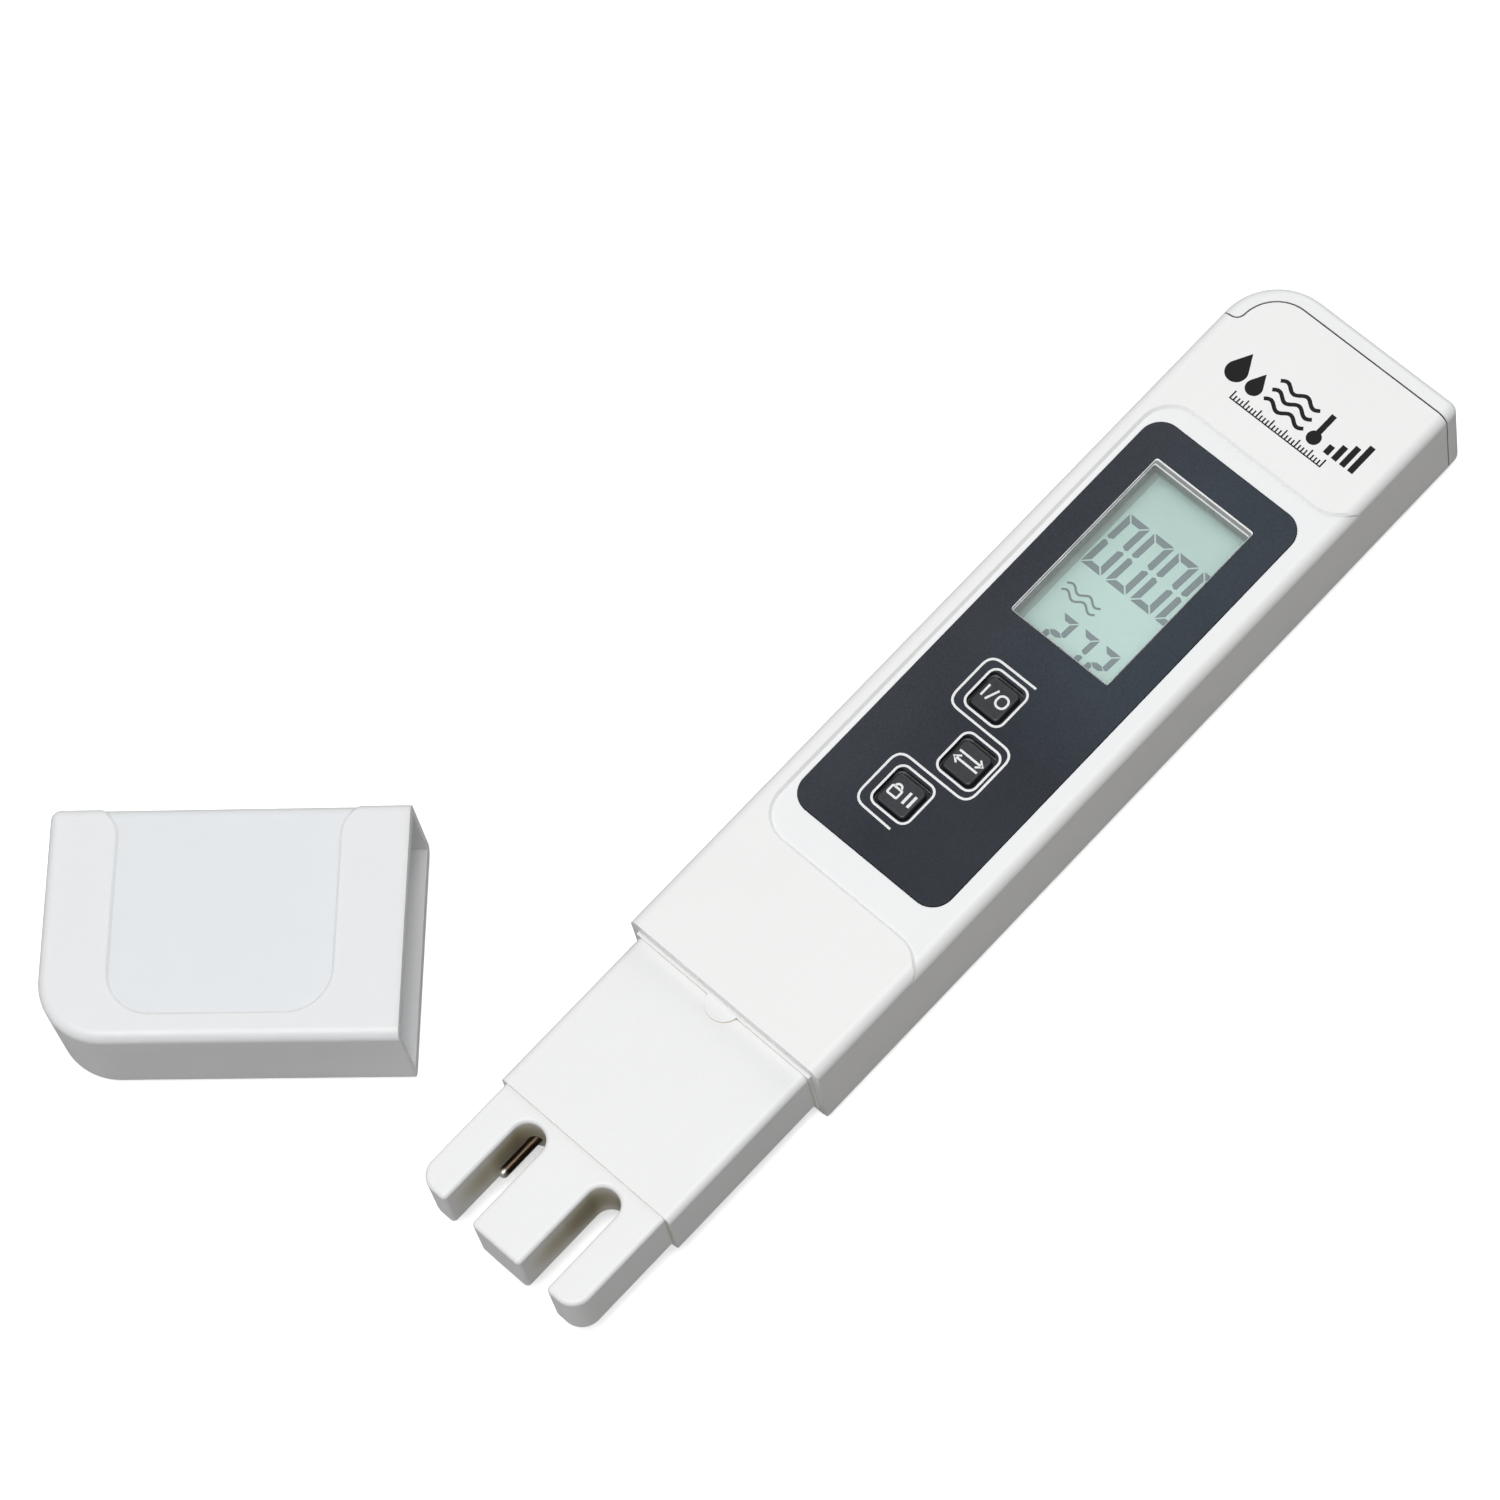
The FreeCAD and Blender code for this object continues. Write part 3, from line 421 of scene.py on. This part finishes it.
SPECKLED = {
    "dark_key": dict(colour=(0.028, 0.032, 0.037), contrast=0.08, grain=0.5,
                     roughness=(0.35, 0.45), height=0.003),
    "switch_case": dict(colour=(0.02, 0.02, 0.02), contrast=0.2),
    "switch_plunger": dict(colour=(0.6, 0.22, 0.06), contrast=0.1),
    "display": dict(colour=(0.55, 0.765, 0.715), contrast=0.02, grain=0.15,
                    roughness=(0.2, 0.3), height=0.002, drift=8),
    "display_ink": dict(colour=(0.11, 0.17, 0.19), contrast=0.05, grain=0.2,
                        roughness=(0.4, 0.5), height=0.002),
    "soft_rubber": dict(colour=(0.25, 0.2, 0.17), contrast=0.15, roughness=(0.6, 0.8)),
    "screw_steel": dict(colour=(0.5, 0.5, 0.5), contrast=0.1, Metallic=1.0),
    "black_resin": dict(colour=(0.015, 0.015, 0.015), contrast=0.3, roughness=(0.1, 0.2)),
    "plated_can": dict(colour=(0.6, 0.6, 0.57), contrast=0.08, Metallic=1.0),
    "ceramic_chip": dict(colour=(0.05, 0.05, 0.06), contrast=0.2),
    "tray_plastic": dict(colour=(0.75, 0.75, 0.72), contrast=0.05),
    "cell_steel": dict(colour=(0.6, 0.6, 0.58), contrast=0.08, grain=0.3,
                       stretch=(1, 0.1, 1), roughness=(0.2, 0.35), Metallic=1.0),
    "spring_metal": dict(colour=(0.62, 0.55, 0.42), contrast=0.08, Metallic=1.0),
    "seal_rubber": dict(colour=(0.03, 0.03, 0.03), contrast=0.2, roughness=(0.6, 0.8)),
    "clear_resin": dict(colour=(0.5, 0.42, 0.28), contrast=0.1, roughness=(0.1, 0.25)),
    "sensor_bead": dict(colour=(0.04, 0.04, 0.04), contrast=0.2),
    "lead_sleeve": dict(colour=(0.55, 0.06, 0.05), contrast=0.1),
    "board_laminate": dict(colour=(0.02, 0.16, 0.06), contrast=0.15, grain=1.2),
}


def build_materials():
    """Every finish by name."""
    made = {
        "ink_black": speckled("ink_black", (0.006, 0.006, 0.007), 0.2, 0.2, (0.5, 0.6), 0.004,
                              Specular_IOR_Level=0.25),
        "ink_white": speckled("ink_white", (0.82, 0.83, 0.83), 0.03, 0.2, (0.4, 0.55), 0.004),
        # the shell's and the cap's third colour is a painted cool reflection on their recess floors
        "white_shell": white_plastic("white_shell", (0.86, 0.86, 0.858), (0.845, 0.858, 0.865)),
        "white_cap": white_plastic("white_cap", (0.81, 0.818, 0.828), (0.775, 0.80, 0.822),
                                   Subsurface_Weight=0.5, Subsurface_Scale=0.002,
                                   Subsurface_Radius=(1.0, 1.0, 1.0)),
        "white_cover": white_plastic("white_cover", (0.85, 0.86, 0.865)),
        "white_probe": white_plastic("white_probe", (0.845, 0.85, 0.855), slot_reach=SLOT_REACH),
        "dark_panel": panel_lacquer(),
        "clear_window": window_plastic(),
        "window_rim": rim_with_painted_highlight(),
        "display_frame": display_frame_plastic(),
        "electrode_metal": pin_metal(),
    }
    for name, values in SPECKLED.items():
        made[name] = speckled(name, **values)
    return made


MATERIALS = build_materials()


# ---------------------------------------------------------------- mesh drawing in millimetres

def finish_piece(name, mesh, material, body):
    """Turns a mesh drawn in millimetres into a named piece that rides on a body."""
    mesh.transform(Matrix.Scale(MM, 4))
    data = bpy.data.meshes.new(name)
    mesh.to_mesh(data)
    mesh.free()
    data.materials.append(MATERIALS[material])
    piece = bpy.data.objects.new(name, data)
    bpy.context.scene.collection.objects.link(piece)
    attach(piece, body)
    return piece


def add_prism(mesh, outline, low, high):
    """A closed prism over a 2-D outline."""
    bottom = [mesh.verts.new((x, y, low)) for x, y in outline]
    top = [mesh.verts.new((x, y, high)) for x, y in outline]
    area = sum(a[0] * b[1] - b[0] * a[1] for a, b in zip(outline, outline[1:] + outline[:1]))
    if area < 0:
        bottom.reverse()
        top.reverse()
    mesh.faces.new(top)
    mesh.faces.new(bottom[::-1])
    count = len(top)
    for index in range(count):
        after = (index + 1) % count
        mesh.faces.new((bottom[index], bottom[after], top[after], top[index]))


# a bend's outer corner reaches at most 1 / MITRE_LIMIT of half the width
MITRE_LIMIT = 0.4


def add_ribbon(mesh, path, width, low, high, closed=False):
    """A flat band of ink along a 2-D path, with mitred bends."""
    path = [Vector(point) for point in path]
    count = len(path)
    sides = []
    for index, point in enumerate(path):
        before = path[index - 1] if closed or index else None
        after = path[(index + 1) % count] if closed or index < count - 1 else None
        arriving = (point - before).normalized() if before is not None else None
        leaving = (after - point).normalized() if after is not None else None
        arriving = arriving or leaving
        leaving = leaving or arriving
        along = (arriving + leaving).normalized()
        across = Vector((-along.y, along.x))
        reach = width / 2 / max(MITRE_LIMIT, across.dot(Vector((-leaving.y, leaving.x))))
        sides.append((point + across * reach, point - across * reach))
    rings = []
    for left, right in sides:
        rings.append([mesh.verts.new((*right, low)), mesh.verts.new((*left, low)),
                      mesh.verts.new((*left, high)), mesh.verts.new((*right, high))])
    last = count if closed else count - 1
    for index in range(last):
        one, two = rings[index], rings[(index + 1) % count]
        for corner in range(4):
            other = (corner + 1) % 4
            mesh.faces.new((one[corner], one[other], two[other], two[corner]))
    if not closed:
        mesh.faces.new(rings[0][::-1])
        mesh.faces.new(rings[-1])


def rounded(x, y, half_x, half_y, radius, steps=6):
    """The outline of a rounded rectangle, anticlockwise."""
    points = []
    for quarter, (sx, sy) in enumerate(((1, 1), (-1, 1), (-1, -1), (1, -1))):
        centre = (x + sx * (half_x - radius), y + sy * (half_y - radius))
        for step in range(steps + 1):
            angle = math.pi / 2 * (quarter + step / steps)
            points.append((centre[0] + radius * math.cos(angle),
                           centre[1] + radius * math.sin(angle)))
    return points


def bent_path(corners, radius, steps=6):
    """An open path through corners, each rounded by a quarter of a circle or less."""
    points = [Vector(corners[0])]
    for before, corner, after in zip(corners, corners[1:], corners[2:]):
        before, corner, after = Vector(before), Vector(corner), Vector(after)
        inward = (before - corner).normalized()
        onward = (after - corner).normalized()
        start, stop = corner + inward * radius, corner + onward * radius
        for step in range(steps + 1):
            share = step / steps
            points.append(start * (1 - share) ** 2 + corner * 2 * share * (1 - share)
                          + stop * share ** 2)
    points.append(Vector(corners[-1]))
    return points


def arc(x, y, radius, start, stop, steps=20):
    """Points on a circle between two angles in degrees."""
    return [(x + radius * math.cos(math.radians(start + (stop - start) * step / steps)),
             y + radius * math.sin(math.radians(start + (stop - start) * step / steps)))
            for step in range(steps + 1)]


# how far printed marks stand out of their surface, and how far they reach into it
INK = 0.02
SUNK = 0.01


class Print:
    """Printed or etched marks on a flat surface, gathered in one piece."""

    def __init__(self, height, line):
        self.mesh = bmesh.new()
        self.low, self.high = height - SUNK, height + INK
        self.line = line

    def stroke(self, path, width=None, closed=False):
        """A line along a path, in the print's own line width unless one is given."""
        add_ribbon(self.mesh, path, width or self.line, self.low, self.high, closed)

    def fill(self, outline):
        """A filled shape."""
        add_prism(self.mesh, outline, self.low, self.high)

    def dot(self, x, y, radius):
        self.fill(arc(x, y, radius, 0, 360, 20)[:-1])

    def piece(self, name, material, body="meter", slot_name="dark_panel"):
        """Ends the drawing and makes its piece."""
        finish_piece(name, self.mesh, material, body)


# ---------------------------------------------------------------- printed marks

# the frames' shift from the keys' middles, and their half sizes and corner radius
FRAME_SHIFT = 0.08
FRAME_HALF_X, FRAME_HALF_Y, FRAME_RADIUS = 2.86, 2.98, 1.15
# the bends of the line between the keys, y from the casing's mouth
TRACK_CORNERS = [(1.36, 51.8), (-5.56, 51.75), (-5.56, 44.05), (5.03, 44.0), (5.03, 35.93),
                 (-5.58, 35.93), (-5.58, 28.0), (0.39, 27.84)]
TRACK_RADIUS = 1.7


def key_outlines():
    """White rounded frames round the keys and the line that winds between them."""
    for name, (centre, _) in KEYS.items():
        frame_line = Print(PANEL_TOP, 0.29)
        frame_line.stroke(rounded(centre.x + FRAME_SHIFT, centre.y + FRAME_SHIFT,
                                  FRAME_HALF_X, FRAME_HALF_Y, FRAME_RADIUS), closed=True)
        frame_line.piece(name.replace("_key", "_frame_line"), "ink_white")
    track = Print(PANEL_TOP, 0.3)
    track.stroke(bent_path([(x, MOUTH + y) for x, y in TRACK_CORNERS], TRACK_RADIUS))
    track.piece("track_line", "ink_white")


SIGN_LINE = 0.28


def key_signs():
    """Generic signs on the key caps: on and off, two arrows, and a padlock with pause bars."""
    centre, top = KEYS["power_key"]
    sign = Print(top, SIGN_LINE)
    x, y = centre.x, centre.y + 0.1
    sign.stroke([(x - 1.65, y - 0.85), (x - 1.65, y + 0.85)])
    sign.stroke([(x - 0.95, y - 0.9), (x - 0.25, y + 0.9)])
    sign.stroke(rounded(x + 0.95, y, 0.72, 0.78, 0.66, 5), closed=True)
    sign.piece("power_sign", "ink_white", "power_key", "dark_key")

    centre, top = KEYS["shift_key"]
    sign = Print(top, SIGN_LINE)
    x, y = centre.x, centre.y + 0.1
    for side, height in ((1, 0.48), (-1, -0.48)):
        sign.stroke([(x - 1.75 * side, y + height), (x + 1.65 * side, y + height)])
        sign.stroke([(x + 1.05 * side, y + height + 0.55), (x + 1.75 * side, y + height),
                     (x + 1.05 * side, y + height - 0.55)], 0.24)
    sign.piece("shift_sign", "ink_white", "shift_key", "dark_key")

    centre, top = KEYS["hold_key"]
    sign = Print(top, SIGN_LINE)
    x, y = centre.x, centre.y + 0.05
    sign.stroke(rounded(x - 0.95, y - 0.28, 0.72, 0.55, 0.15, 3), closed=True)
    sign.stroke(arc(x - 0.95, y + 0.35, 0.46, 180, 0, 10))
    for shift in (0.7, 1.5):
        sign.stroke([(x + shift, y - 0.85), (x + shift, y + 0.85)], 0.36)
    sign.piece("hold_sign", "ink_white", "hold_key", "dark_key")


def drop_outline(x, y, size):
    """A water drop with its point up."""
    lower = arc(x, y, size, 150, 390, 24)
    return lower + [(x, y + size * 2.05)]


def wave(x, y, length, height, steps):
    """Points along two full waves that start at (x, y)."""
    shares = [step / steps for step in range(steps + 1)]
    return [(x + length * share, y + height * math.sin(share * 4 * math.pi))
            for share in shares]


# heights of the two rows on the front, y from the casing's mouth
SIGNS_Y = 98.3
TICKS_Y = 94.3
BAR_HEIGHTS = (1.3, 2.2, 3.1, 4.2)
BAR_LEFT, BAR_PITCH, BAR_WIDTH = 6.6, 1.25, 0.8
TICK_COUNT, TICK_LEFT, TICK_PITCH = 29, -6.4, 0.5
LONG_TICK, SHORT_TICK = 1.15, 0.7


def front_signs():
    """Dark generic marks on the white field above the panel: drops, waves, a thermometer, bars
    and a row of scale ticks."""
    marks = Print(FRONT, 0.55)
    y = MOUTH + SIGNS_Y
    marks.fill(drop_outline(-8.1, y - 0.9, 1.45))
    marks.fill(drop_outline(-5.1, y - 1.2, 1.1))
    for row in (-1.5, 0.0, 1.5):
        marks.stroke(wave(-3.3, y + row, 6.2, 0.38, 28), 0.5)
    marks.stroke([(4.6, y - 0.7), (4.6, y + 2.1)], 0.75)
    marks.dot(4.6, y - 1.6, 0.95)
    for bar, tall in enumerate(BAR_HEIGHTS):
        left = BAR_LEFT + BAR_PITCH * bar
        marks.fill([(left, y - 2.3), (left + BAR_WIDTH, y - 2.3),
                    (left + BAR_WIDTH, y - 2.3 + tall), (left, y - 2.3 + tall)])
    marks.piece("front_marks", "ink_black", slot_name="white_shell")
    ticks = Print(FRONT, 0.2)
    base = MOUTH + TICKS_Y
    for step in range(TICK_COUNT):
        x = TICK_LEFT + TICK_PITCH * step
        ticks.stroke([(x, base), (x, base + (LONG_TICK if step % 4 == 0 else SHORT_TICK))])
    ticks.stroke([(-6.5, base), (7.7, base)], 0.16)
    ticks.piece("scale_ticks", "ink_black", slot_name="white_shell")


# ---------------------------------------------------------------- display

# the lit segments of the digits that the display shows
SEGMENTS = {0: "abcdef", 2: "abdeg", 7: "abc"}


def digit(marks, value, x, y, width, height, slant, line):
    """A seven-segment digit with its lower left corner at (x, y)."""
    gap = line * 0.16
    middle = height / 2

    def lean(points):
        """Points moved to the digit's place and slanted."""
        return [(x + px + py * slant, y + py) for px, py in points]

    def bar(far, inner_up):
        """The top or bottom segment, from its outer edge inwards."""
        near = far + line if inner_up else far - line
        return [(gap, far), (width - gap, far), (width - line - gap, near), (line + gap, near)]

    shapes = {
        "a": bar(height, False),
        "d": bar(0, True),
        "g": [(gap + line * 0.3, middle), (gap + line, middle + line / 2),
              (width - gap - line, middle + line / 2), (width - gap - line * 0.3, middle),
              (width - gap - line, middle - line / 2), (gap + line, middle - line / 2)],
        "f": [(0, height - gap), (line, height - line - gap), (line, middle + gap + line * 0.35),
              (line * 0.4, middle + gap), (0, middle + gap + line * 0.2)],
        "b": [(width, height - gap), (width - line, height - line - gap),
              (width - line, middle + gap + line * 0.35), (width - line * 0.4, middle + gap),
              (width, middle + gap + line * 0.2)],
        "e": [(0, gap), (line, line + gap), (line, middle - gap - line * 0.35),
              (line * 0.4, middle - gap), (0, middle - gap - line * 0.2)],
        "c": [(width, gap), (width - line, line + gap),
              (width - line, middle - gap - line * 0.35), (width - line * 0.4, middle - gap),
              (width, middle - gap - line * 0.2)],
    }
    for segment in SEGMENTS[value]:
        marks.fill(lean(shapes[segment]))


# each row of digits: the lower left corner with y from the casing's mouth, the distance between
# digits, and a digit's width, height and line
LARGE_ROW = (-7.65, 68.85, 3.87, 3.2, 8.35, 0.86)
SMALL_ROW = (-4.95, 57.25, 3.3, 2.5, 5.45, 0.76)
DIGIT_SLANT = 0.055


def digit_row(marks, values, left, y, pitch, width, height, line):
    """Digits side by side."""
    for place, value in enumerate(values):
        digit(marks, value, left + pitch * place, MOUTH + y, width, height, DIGIT_SLANT, line)


def display_marks():
    """Grey liquid crystal digits: four noughts, the unit sign and a smaller reading."""
    marks = Print(DISPLAY_TOP, 0.2)
    digit_row(marks, (0, 0, 0, 0), *LARGE_ROW)
    digit_row(marks, (2, 7, 2), *SMALL_ROW)
    marks.dot(0.95, MOUTH + 57.6, 0.34)
    for row in (0.0, 1.05):
        marks.stroke(wave(-6.9, MOUTH + 64.7 + row, 5.3, 0.34, 24), 0.3)
    marks.piece("display_digits", "display_ink", slot_name="display")


# width of the silver rim on the window's left, right, lower and upper sides
RIM_WIDTHS = (0.36, 0.12, 0.12, 0.85)


def window_outline(share, steps=3):
    """The window's outline, moved in by a share of the rim's width on each side."""
    left, right, lower, upper = (width * share for width in RIM_WIDTHS)
    x = (LENS_LOW.x + left + LENS_HIGH.x - right) / 2
    y = (LENS_LOW.y + lower + LENS_HIGH.y - upper) / 2
    half_x = (LENS_HIGH.x - right - LENS_LOW.x - left) / 2
    half_y = (LENS_HIGH.y - upper - LENS_LOW.y - lower) / 2
    return rounded(x, y, half_x, half_y, 0.3 - 0.15 * share, steps)


# the rim's section: a share of its width inwards, and a height from the window's underside or
# its top
RIM_FROM_BELOW = ((0.0, 0.0), (1.0, 0.0))
RIM_FROM_TOP = ((1.0, 0.25), (0.9, 0.04), (0.78, 0.04), (0.7, 0.2), (0.28, 0.2), (0.2, 0.0),
                (0.0, 0.0))
# how far the clear plate stays from the window's underside and from its top
PLATE_UP, PLATE_DOWN = 0.05, 0.3


def window_parts():
    """The clear plate, and its bevels, drawn as a grey rim whose two ridges carry a painted
    highlight."""
    low, high = LENS_LOW.z, LENS_HIGH.z
    plate = bmesh.new()
    add_prism(plate, window_outline(1.0), low + PLATE_UP, high - PLATE_DOWN)
    piece = finish_piece("window_plate", plate, "clear_window", "meter")
    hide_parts("window_lens")

    rim = bmesh.new()
    profile = [(share, low + up) for share, up in RIM_FROM_BELOW]
    profile += [(share, high - down) for share, down in RIM_FROM_TOP]
    rings = [[rim.verts.new((x, y, z)) for x, y in window_outline(share)]
             for share, z in profile]
    count = len(rings[0])
    for index, ring in enumerate(rings):
        after = rings[(index + 1) % len(rings)]
        for step in range(count):
            other = (step + 1) % count
            rim.faces.new((ring[step], after[step], after[other], ring[other]))
    finish_piece("window_edge", rim, "window_rim", "meter")


# ---------------------------------------------------------------- CAD parts' finishes

FINISH = {
    "casing": "white_shell", "battery_cover": "white_cover", "protective_cap": "white_cap",
    "probe_holder": "white_probe",
}


def dress_cad():
    """Gives each CAD part its finish, or else the material of its slot in the record."""
    slots = {row["node"]: row["material_slot"] for row in frame["record"]["subparts"]}
    for name, node in NODES.items():
        finish = FINISH.get(name) or slots[name]
        material = MATERIALS[finish]
        if not node.material_slots:
            node.data.materials.append(material)
        for place in node.material_slots:
            place.material = material


# half the floor's side in metres
FLOOR_HALF = 3.0
# a hair under the resting plane, in metres
FLOOR_HEIGHT = -0.0002


def floor():
    """White paper. The camera sees it brighter than the light that it gives back to the object,
    as on a white ground that is lit apart from the object."""
    mesh = bmesh.new()
    corners = [mesh.verts.new((sx * FLOOR_HALF, sy * FLOOR_HALF, FLOOR_HEIGHT))
               for sx, sy in ((-1, -1), (1, -1), (1, 1), (-1, 1))]
    mesh.faces.new(corners)
    data = bpy.data.meshes.new("floor")
    mesh.to_mesh(data)
    mesh.free()
    paper = Shader("paper", Emission_Strength=1.0, Roughness=0.9, Specular_IOR_Level=0.1)
    grain = paper.noise(40, 3)
    seen = paper.ramp(grain, [(0.3, (0.95, 0.95, 0.95)), (0.7, (0.97, 0.97, 0.97))])
    bounced = paper.ramp(grain, [(0.3, (0.26, 0.256, 0.25)), (0.7, (0.28, 0.276, 0.27))])
    ray = paper.node("ShaderNodeLightPath").outputs["Is Camera Ray"]
    paper.colour(paper.mix(ray, bounced, seen))
    paper.link(paper.mix(ray, (0.04, 0.04, 0.04), (0.45, 0.45, 0.45)),
               paper.shader.inputs["Emission Color"])
    data.materials.append(paper.material)
    ground = bpy.data.objects.new("floor", data)
    bpy.context.scene.collection.objects.link(ground)


dress_cad()
key_outlines()
key_signs()
front_signs()
display_marks()
window_parts()
floor()

bpy.context.view_layer.update()
